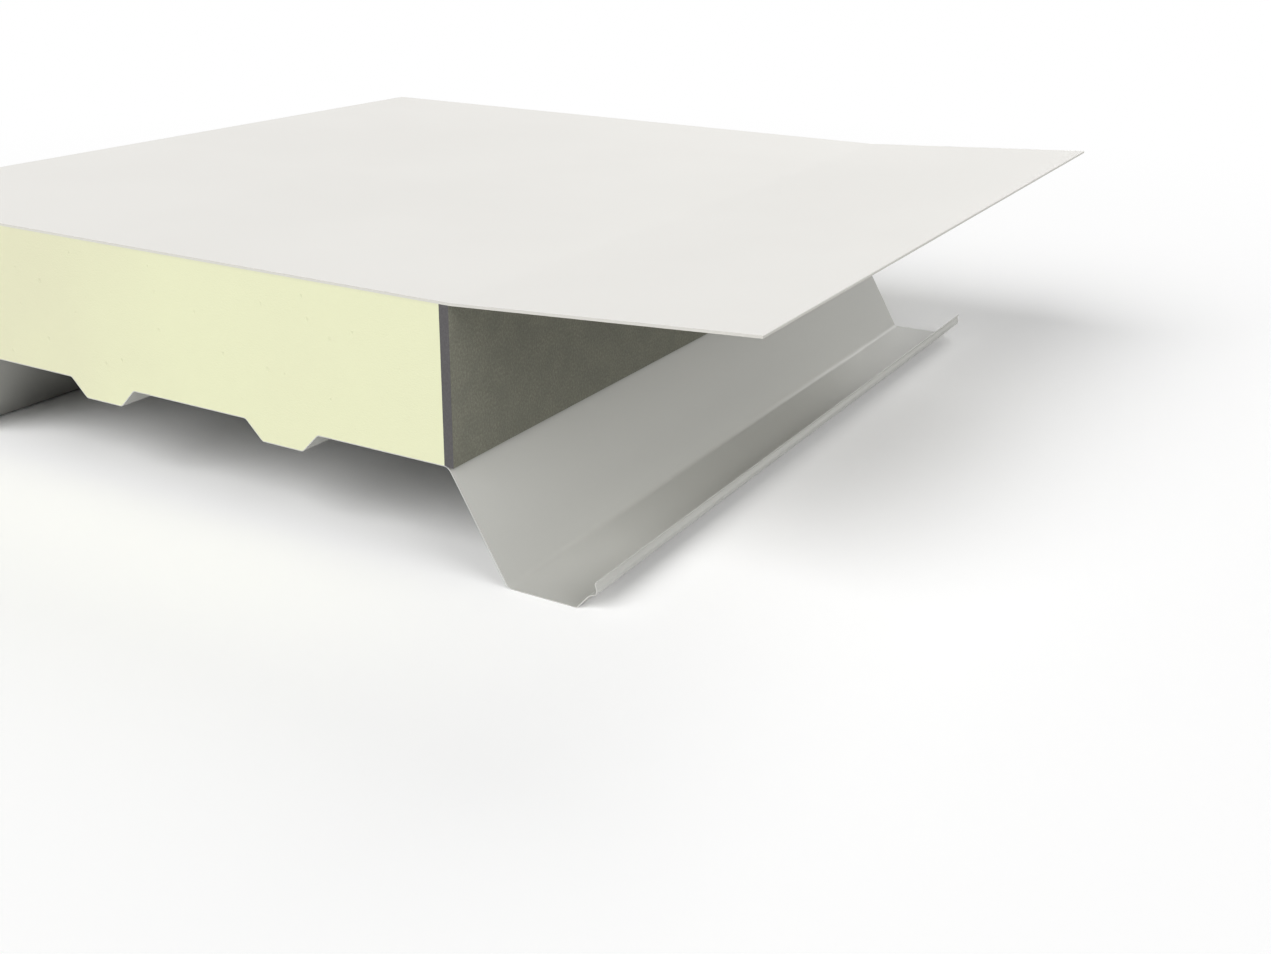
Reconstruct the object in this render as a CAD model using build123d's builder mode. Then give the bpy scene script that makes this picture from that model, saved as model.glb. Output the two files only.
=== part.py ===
"""Insulated roof deck panel: a rolled steel liner, a rigid foam core, a membrane on top and a side gasket.

The panel lies as on a roof, with the membrane up and its main rib and its trough on the ground.
X runs across the panel, Y along its length and Z up, in millimetres.
The origin is at the middle of the panel's outline, on the level of the trough's underside.
"""

from math import hypot, radians, tan
from build123d import *
import os

# Overall sizes
cover_width = 1000.0
panel_length = 1200.0
panel_depth = 180.0
steel = 1.0
membrane = 3.0

# Side joint: the gasket on the right side, and the play between a rib and the trough that it lies in
gasket_thickness = 12.0
nest_clearance = 0.5

# Main rib along the left side, which the next panel's trough carries
rib_depth = 125.0
rib_bottom_width = 85.4
side_flank_slope = 0.6
inner_flank_run = 70.5
liner_lap_height = 32.0

# Two small stiffening ribs
mini_rib_depth = 24.0
mini_rib_bottom_width = 61.5
mini_rib_run = 24.0
mini_rib_pitch = 292.0
mini_rib_inset = 231.75
mini_rib_count = 2

# Trough along the right side, and its hooked lip as a chain of steps, each across and up
trough_start = 4.4
trough_bottom_width = 87.0
lip_steps = [(14.6, 17.4), (9.4, 4.0), (0.9, 6.1), (-2.1, 6.0), (2.2, 3.9)]

# Radii on the liner's underside
main_bend = 10.0
mini_bend = 6.0
lip_bend = 2.4
lip_root_bend = 5.0

# Membrane flap that covers the joint
flap_reach = 365.7
flap_gap = 2.0
flap_angle = 3.55
flap_bend = 150.0

# Half-round channel in the front end, for the fastener through the main rib
channel_diameter = 38.0
channel_offset = 3.0

# Levels and places that follow, from the right side of the foam and the underside of the flats
trough_depth = rib_depth + steel
foam_left = gasket_thickness - cover_width
sheet_shift = steel * hypot(1, side_flank_slope)
trough_left = trough_start + side_flank_slope * trough_depth
nest_corner = trough_left + sheet_shift - side_flank_slope * steel
rib_left = nest_corner + nest_clearance - cover_width
rib_right = rib_left + rib_bottom_width
trough_right = trough_left + trough_bottom_width
flap_start = gasket_thickness + flap_gap
flap_rise = (flap_reach - flap_start) * tan(radians(flap_angle))
channel_x = (rib_left + rib_right) / 2 + channel_offset

# The section is drawn on the back end and drawn out towards the front
middle_x = (foam_left + flap_reach) / 2
section = Plane(origin=(-middle_x, panel_length / 2, trough_depth), x_dir=(1, 0, 0), z_dir=(0, -1, 0))


def side_flank(height):
    """A point on the main rib's left flank, at a height over the rib's underside."""
    return (rib_left - side_flank_slope * height, height - rib_depth)


def mini_rib(centre):
    """The four corners of a small rib, from left to right."""
    half_bottom = mini_rib_bottom_width / 2
    half_top = half_bottom + mini_rib_run
    return [
        (centre - half_top, 0),
        (centre - half_bottom, -mini_rib_depth),
        (centre + half_bottom, -mini_rib_depth),
        (centre + half_top, 0),
    ]


def underside(start_height):
    """Corners and bend radii of the rolled underside, from the left flank to the end of the lip."""
    corners = [side_flank(start_height), side_flank(0), (rib_right, -rib_depth)]
    corners.append((rib_right + inner_flank_run, 0))
    bends = [main_bend] * 3
    for number in reversed(range(mini_rib_count)):
        corners += mini_rib(-mini_rib_inset - number * mini_rib_pitch)
        bends += [mini_bend] * 4
    corners += [(trough_start, 0), (trough_left, -trough_depth), (trough_right, -trough_depth)]
    bends += [main_bend, main_bend, lip_root_bend]
    for across, up in lip_steps:
        corners.append((corners[-1][0] + across, corners[-1][1] + up))
    bends += [lip_bend] * (len(lip_steps) - 1)
    return corners, bends


# The whole sheet line, which the foam follows also above the liner's left edge
flank_height = (rib_left - foam_left) / side_flank_slope + steel
sheet_corners, sheet_bends = underside(flank_height)
with BuildSketch(section) as sheet_line:
    with BuildLine():
        FilletPolyline(*sheet_corners, radius=sheet_bends)
        offset(amount=steel, side=Side.LEFT)
    make_face()

# Steel liner: one rolled sheet that laps a little way up the left flank
liner_corners, liner_bends = underside(liner_lap_height)
with BuildPart() as steel_liner:
    with BuildSketch(section):
        with BuildLine():
            FilletPolyline(*liner_corners, radius=liner_bends)
            offset(amount=steel, side=Side.LEFT)
        make_face()
    extrude(amount=panel_length)
steel_liner.part.label = "steel_liner"

# Foam core: it fills the panel from the sheet line up to the membrane
with BuildPart() as foam_core:
    with BuildSketch(section):
        with BuildLine():
            FilletPolyline(*sheet_corners, radius=sheet_bends)
            lip_end = sheet_corners[-1]
            flank_top = sheet_corners[0]
            Polyline(lip_end, (lip_end[0], panel_depth), (flank_top[0], panel_depth), flank_top)
        make_face()
        add(sheet_line.sketch_local, mode=Mode.SUBTRACT)
        with Locations((foam_left / 2, (panel_depth - rib_depth) / 2)):
            Rectangle(-foam_left, panel_depth + rib_depth, mode=Mode.INTERSECT)
    extrude(amount=panel_length)
    with Locations((channel_x - middle_x, -panel_length / 2, panel_depth + trough_depth)):
        Hole(radius=channel_diameter / 2)
foam_core.part.label = "foam_core"

# Side gasket: a soft strip against the foam's right side, which rests on the bend into the trough
with BuildPart() as side_gasket:
    with BuildSketch(section):
        with Locations((gasket_thickness / 2, panel_depth / 2)):
            Rectangle(gasket_thickness, panel_depth)
        add(sheet_line.sketch_local, mode=Mode.SUBTRACT)
    extrude(amount=panel_length)
side_gasket.part.label = "side_gasket"

# Membrane: one sheet over foam and gasket, whose flap rises a little to cover the joint
with BuildPart() as membrane_sheet:
    with BuildSketch(section):
        with BuildLine():
            flap_edge = (flap_reach, panel_depth + flap_rise)
            FilletPolyline((foam_left, panel_depth), (flap_start, panel_depth), flap_edge, radius=flap_bend)
            offset(amount=membrane, side=Side.LEFT)
        make_face()
    extrude(amount=panel_length)
    with Locations((channel_x - middle_x, -panel_length / 2, panel_depth + membrane + trough_depth)):
        Hole(radius=channel_diameter / 2)
membrane_sheet.part.label = "membrane_sheet"

os.makedirs("parts", exist_ok=True)
export_step(steel_liner.part, "parts/steel_liner.step")
export_step(foam_core.part, "parts/foam_core.step")
export_step(side_gasket.part, "parts/side_gasket.step")
export_step(membrane_sheet.part, "parts/membrane_sheet.step")
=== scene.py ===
from math import radians

import bmesh
import bpy
from mathutils import Matrix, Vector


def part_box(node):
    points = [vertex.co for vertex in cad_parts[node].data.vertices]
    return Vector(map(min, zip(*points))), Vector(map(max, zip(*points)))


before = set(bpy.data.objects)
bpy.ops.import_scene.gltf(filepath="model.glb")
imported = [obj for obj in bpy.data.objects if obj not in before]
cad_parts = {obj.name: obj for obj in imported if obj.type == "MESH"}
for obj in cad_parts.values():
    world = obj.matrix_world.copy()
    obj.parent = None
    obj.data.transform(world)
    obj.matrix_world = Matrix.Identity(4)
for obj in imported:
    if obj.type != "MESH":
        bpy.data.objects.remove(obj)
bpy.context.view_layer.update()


# Steel liner: one sheet of galvanised steel, 1 mm thick, coil coated light grey and then rolled to shape.
# The coating has a faint orange peel and marks from the rollers. The ends are sheared after coating, so there
# a thin line of bare metal shows.

class Field:
    """A shader socket that reads as a number or a colour in Python expressions."""

    def __init__(self, tree, socket=None):
        self.tree, self.socket = tree, socket

    def node(self, kind, sockets=None, out=0, **settings):
        """Adds any node: its settings first, then the values or links of its sockets."""
        made = self.tree.nodes.new(kind)
        for setting, value in settings.items():
            setattr(made, setting, value)
        for name, value in (sockets or {}).items():
            if isinstance(value, Field):
                self.tree.links.new(value.socket, made.inputs[name])
            else:
                made.inputs[name].default_value = value
        return Field(self.tree, made.outputs[out])

    def maths(self, operation, first, second=0.0):
        """Adds a Math node on fields or plain values."""
        return self.node("ShaderNodeMath", {0: first, 1: second}, operation=operation)

    def __add__(self, other):
        return self.maths("ADD", self, other)

    def __radd__(self, other):
        return self.maths("ADD", other, self)

    def __sub__(self, other):
        return self.maths("SUBTRACT", self, other)

    def __rsub__(self, other):
        return self.maths("SUBTRACT", other, self)

    def __mul__(self, other):
        return self.maths("MULTIPLY", self, other)

    def __rmul__(self, other):
        return self.maths("MULTIPLY", other, self)

    def __abs__(self):
        return self.maths("ABSOLUTE", self)

    def __or__(self, other):
        """The larger of two masks, which covers what either of them covers."""
        return self.maths("MAXIMUM", self, other)

    def over(self, low, high):
        """0 under the low value, 1 over the high one, and a smooth step between them."""
        return self.node(
            "ShaderNodeMapRange",
            {"Value": self, "From Min": low, "From Max": high},
            interpolation_type="SMOOTHSTEP",
        )

    def blend(self, first, second):
        """The first colour where this mask is 0 and the second where it is 1."""
        return self.node("ShaderNodeMix", {0: self, 6: first, 7: second}, out=2, data_type="RGBA")


class Finish:
    """One material: its object coordinates, its patterns and its surface shader."""

    # How far the finish of a cut face runs round its edge, in metres
    edge_margin = 0.0002

    def __init__(self, name, **values):
        self.material = bpy.data.materials.new(name)
        self.material.use_nodes = True
        tree = self.material.node_tree
        self.surface = tree.nodes["Principled BSDF"]
        self.field = Field(tree)
        self.place = self.field.node("ShaderNodeTexCoord", out="Object")
        self.set(**values)

    def set(self, **values):
        """Gives shader sockets their values or fields; a socket's name is written with underscores."""
        for name, value in values.items():
            socket = self.surface.inputs[name.replace("_", " ")]
            if isinstance(value, Field):
                self.field.tree.links.new(value.socket, socket)
            else:
                socket.default_value = value

    def axis(self, letter):
        """One object coordinate, in metres."""
        return self.field.node("ShaderNodeSeparateXYZ", {0: self.place}, out=letter)

    def noise(self, waves, detail=2.0, roughness=0.5, stretch=(1, 1, 1)):
        """Smooth noise with a number of waves to the metre, fewer along an axis with a stretch under 1."""
        spread = self.field.node("ShaderNodeMapping", {"Vector": self.place, "Scale": stretch})
        return self.field.node(
            "ShaderNodeTexNoise",
            {"Vector": spread, "Scale": waves, "Detail": detail, "Roughness": roughness},
        )

    def points(self, place, waves, out="Distance", dimensions="3D"):
        """Distance to the nearest of many scattered points, or that point's own random colour."""
        return self.field.node(
            "ShaderNodeTexVoronoi", {"Vector": place, "Scale": waves}, out=out, voronoi_dimensions=dimensions
        )

    def relief(self, height, depth, below=None):
        """A bump of a real depth in metres, over an earlier one where there is one."""
        sockets = {"Height": height, "Distance": depth, "Strength": 1.0}
        if below:
            sockets["Normal"] = below
        return self.field.node("ShaderNodeBump", sockets)

    def cut_faces(self, letter, low, high):
        """1 on the two faces that end a piece along an axis, 0 elsewhere."""
        number = "XYZ".index(letter)
        middle = (low[number] + high[number]) / 2
        half = (high[number] - low[number]) / 2
        from_middle = abs(self.axis(letter) - middle)
        return from_middle.over(half - self.edge_margin, half - self.edge_margin / 2)

    def bore_wall(self, centre_x, centre_y, radius):
        """1 on the wall of an upright bore, 0 further from its axis."""
        plan = self.field.node(
            "ShaderNodeMapping",
            {"Vector": self.place, "Location": (-centre_x, -centre_y, 0), "Scale": (1, 1, 0)},
        )
        reach = self.field.node("ShaderNodeVectorMath", {0: plan}, out="Value", operation="LENGTH")
        return 1 - reach.over(radius, radius + self.edge_margin)

    def dress(self, piece):
        """Gives a piece this material and no other."""
        piece.data.materials.clear()
        piece.data.materials.append(self.material)


coat_tones = (0.462, 0.462, 0.434, 1), (0.482, 0.482, 0.454, 1)
bare_steel = (0.50, 0.50, 0.475, 1)
peel_depth, roll_mark_depth = 0.00006, 0.0002

coated = Finish("coil_coated_steel")
cloud = coated.noise(4, detail=3, stretch=(1, 0.2, 1)).over(0.3, 0.7)
sheared = coated.cut_faces("Y", *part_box("steel_liner"))
roll_marks = coated.relief(coated.noise(60, stretch=(1, 0.02, 1)), roll_mark_depth)
coated.set(
    Base_Color=sheared.blend(cloud.blend(*coat_tones), bare_steel),
    Roughness=0.40 + 0.08 * cloud,
    Normal=coated.relief(coated.noise(400, detail=1), peel_depth, below=roll_marks),
)
coated.dress(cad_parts["steel_liner"])


# Foam core: rigid foam, foamed between the liner and the membrane. Its sides keep their skin, its ends are
# sawn, and one end has a drilled channel. The fine cells look smooth, but here and there a cut bubble leaves
# a small pit, painted slightly darker inside as painted shade. Close under the membrane a darker band is
# painted shade, and the foam is painted darker towards its left end, a painted shade among random warm
# patches.

core_low, core_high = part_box("foam_core")
channel_x, channel_radius = -0.562084, 0.019
fresh_and_left_shade_tones = (0.684, 0.697, 0.480, 1), (0.640, 0.636, 0.454, 1)
membrane_shade_tone = (0.60, 0.60, 0.44, 1)
drilled_tone = (0.715, 0.725, 0.470, 1)
grain_tone = (0.66, 0.66, 0.43, 1)
skin_tone = (0.66, 0.64, 0.40, 1)
pit_shade_tone = (0.55, 0.54, 0.33, 1)
membrane_shade_band = 0.004
grain_depth, cell_depth, pit_depth = 0.0002, 0.0002, 0.0006

foam = Finish("rigid_foam", Roughness=0.9)
foam.set(Specular_IOR_Level=0.3)
level = foam.axis("Z")
bore = foam.bore_wall(channel_x, core_low.y, channel_radius)
cut_open = foam.cut_faces("Y", core_low, core_high) | bore

# Random warm patches, plus painted shade that darkens the foam towards its left end.
warm_and_left_shade = (foam.noise(2.2, roughness=0.6) - foam.axis("X")).over(0.45, 0.85)
# Painted shade: a darker band close under the membrane.
under_membrane_shade = level.over(core_high.z - membrane_shade_band, core_high.z)
grain = foam.noise(800)
fresh_with_painted_shade = (under_membrane_shade * 0.6).blend(warm_and_left_shade.blend(*fresh_and_left_shade_tones), membrane_shade_tone)
inside = (grain.over(0.3, 0.7) * 0.2).blend(bore.blend(fresh_with_painted_shade, drilled_tone), grain_tone)

# The pits lie at random on the upright faces, so many to the metre along and up, and most of them are tiny.
# X and Y together run along every upright face.
pits_along, pits_up = 30, 18
largest_pit, pit_edge = 0.045, 0.02
along = foam.axis("X") + foam.axis("Y")
face_place = foam.field.node("ShaderNodeCombineXYZ", {0: pits_along * along, 1: pits_up * level})
reach = foam.points(face_place, 1.0, dimensions="2D")
draw = foam.points(face_place, 1.0, out="Color", dimensions="2D")
share = foam.field.node("ShaderNodeSeparateColor", {0: draw}, out="Red").over(0.4, 1.0)
pit = (largest_pit * share - reach).over(-pit_edge, pit_edge)

cells = foam.relief(foam.points(foam.place, 520), cell_depth, below=foam.relief(grain, grain_depth))
# The pits are painted a little darker in the base colour, a painted shade; the bump gives their relief.
foam.set(
    Base_Color=(pit * 0.06).blend(cut_open.blend(skin_tone, inside), pit_shade_tone),
    Normal=foam.relief(1 - pit, pit_depth, below=cells),
)
foam.dress(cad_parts["foam_core"])


# Side gasket: a strip of dark sponge rubber, glued over the whole right side of the foam.
# Its face has a stippled skin, and its cut ends show the duller open sponge.

skin_tones = (0.142, 0.142, 0.108, 1), (0.208, 0.208, 0.164, 1)
hollow_tone = (0.11, 0.11, 0.09, 1)
sponge_tones = (0.076, 0.072, 0.075, 1), (0.092, 0.088, 0.090, 1)
stipple_depth = 0.0014

rubber = Finish("sponge_rubber", Roughness=0.85)
stipple = rubber.noise(430, detail=3, roughness=0.7, stretch=(1, 1, 0.7))
speckled = stipple.over(0.38, 0.70)
hollow = rubber.noise(35).over(0.3, 0.7)
skin = (hollow * 0.3).blend(speckled.blend(*skin_tones), hollow_tone)
sponge = rubber.cut_faces("Y", *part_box("side_gasket"))
rubber.set(
    Base_Color=sponge.blend(skin, speckled.blend(*sponge_tones)),
    Normal=rubber.relief(stipple, stipple_depth),
)
rubber.dress(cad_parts["side_gasket"])


# Membrane: one roofing sheet, bonded to the foam and the gasket, whose right side stays free as a lap over
# the joint. Its face is smooth, matt and off-white, and its cut edges show the greyer core; the cut sides are
# painted darker than the cut ends, a painted shade.

lap_low, lap_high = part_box("membrane_sheet")
face_tones = (0.794, 0.781, 0.748, 1), (0.814, 0.801, 0.768, 1)
end_tone = (0.575, 0.565, 0.525, 1)
side_shade_tone = (0.50, 0.49, 0.455, 1)
face_depth = 0.00005

sheet = Finish("roofing_membrane", Roughness=0.6)
sheet.set(Specular_IOR_Level=0.2)
soft = sheet.noise(2.5, detail=3).over(0.3, 0.7)
ends = sheet.cut_faces("Y", lap_low, lap_high) | sheet.bore_wall(channel_x, lap_low.y, channel_radius)
# The cut sides get a darker copy of the core colour, painted shade.
sides = sheet.cut_faces("X", lap_low, lap_high)
sheet.set(
    Base_Color=sides.blend(ends.blend(soft.blend(*face_tones), end_tone), side_shade_tone),
    Normal=sheet.relief(sheet.noise(900), face_depth),
)
sheet.dress(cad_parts["membrane_sheet"])


# Floor and light: a plain pale floor that turns to white further out and throws little light back under
# the panel, which keeps the shade there deep. A broad soft light stands in front, a lower one beside it and a
# weak one behind, and the sky lights all sides evenly.

floor_reach = 40
floor_tone, sheltered_tone = (0.985, 0.985, 0.985, 1), (0.28, 0.28, 0.28, 1)
shelter_edge = 0.1
fade_start, fade_end = 1.0, 3.0
sky_light = 0.20

ground = bmesh.new()
bmesh.ops.create_grid(ground, x_segments=1, y_segments=1, size=floor_reach)
floor_mesh = bpy.data.meshes.new("floor")
ground.to_mesh(floor_mesh)
ground.free()
floor = bpy.data.objects.new("floor", floor_mesh)
bpy.context.scene.collection.objects.link(floor)

pale = Finish("pale_floor", Roughness=1.0)
pale.set(Specular_IOR_Level=0.0)
seen = pale.field.node("ShaderNodeLightPath", out="Is Camera Ray")
reflected = pale.field.node("ShaderNodeLightPath", out="Is Glossy Ray")
from_middle = abs(pale.axis("X")) | abs(pale.axis("Y"))
open_floor = from_middle.over(core_high.y - shelter_edge, core_high.y)
pale.set(Base_Color=(seen | reflected | open_floor).blend(sheltered_tone, floor_tone))
away = pale.field.node("ShaderNodeVectorMath", {0: pale.place}, out="Value", operation="LENGTH")
white = pale.field.node("ShaderNodeEmission", {"Color": (1, 1, 1, 1), "Strength": 1.0})
lit_floor = Field(pale.field.tree, pale.surface.outputs[0])
far_out = seen * away.over(fade_start, fade_end)
fading = pale.field.node("ShaderNodeMixShader", {0: far_out, 1: lit_floor, 2: white})
output = pale.material.node_tree.nodes["Material Output"]
pale.field.tree.links.new(fading.socket, output.inputs["Surface"])
pale.dress(floor)

world = bpy.data.worlds.new("studio")
bpy.context.scene.world = world
world.use_nodes = True
sky = Field(world.node_tree)
straight = sky.node("ShaderNodeLightPath", out="Is Camera Ray")
mirrored = sky.node("ShaderNodeLightPath", out="Is Glossy Ray")
strength = sky_light + (1 - sky_light) * (straight | mirrored)
backdrop = world.node_tree.nodes["Background"]
backdrop.inputs["Color"].default_value = (1, 1, 1, 1)
world.node_tree.links.new(strength.socket, backdrop.inputs["Strength"])

# The spread, the height over the floor and the turn from the front are in degrees.
for name, energy, spread, height, turn in (
    ("front_light", 2.22, 45, 38.5, -13),
    ("right_light", 1.42, 40, 32, 75),
    ("back_light", 0.62, 30, 33, 183),
):
    lamp = bpy.data.lights.new(name, "SUN")
    lamp.energy = energy
    lamp.angle = radians(spread)
    light = bpy.data.objects.new(name, lamp)
    light.rotation_euler = (radians(90 - height), 0, radians(turn))
    bpy.context.scene.collection.objects.link(light)


# Camera: it stands in front of the panel's right side and looks down at it, at the place and angle of the
# reference view. Its lens gives that view's focal length.

frame_width_px = 1271
focal_px = 1445.99
camera_place = (1.194921, -1.758385, 0.705985)
camera_turn, camera_tilt, camera_roll = radians(29.234), radians(-22.197), radians(0.925)

camera = bpy.data.cameras.new("camera")
camera.sensor_width = 36
camera.lens = focal_px * camera.sensor_width / frame_width_px
viewer = bpy.data.objects.new("camera", camera)
bpy.context.scene.collection.objects.link(viewer)
aim = (
    Matrix.Rotation(camera_turn, 4, "Z")
    @ Matrix.Rotation(radians(90) + camera_tilt, 4, "X")
    @ Matrix.Rotation(camera_roll, 4, "Z")
)
viewer.matrix_world = Matrix.Translation(camera_place) @ aim
bpy.context.scene.camera = viewer
bpy.context.scene.view_settings.view_transform = "Standard"

bpy.context.view_layer.update()
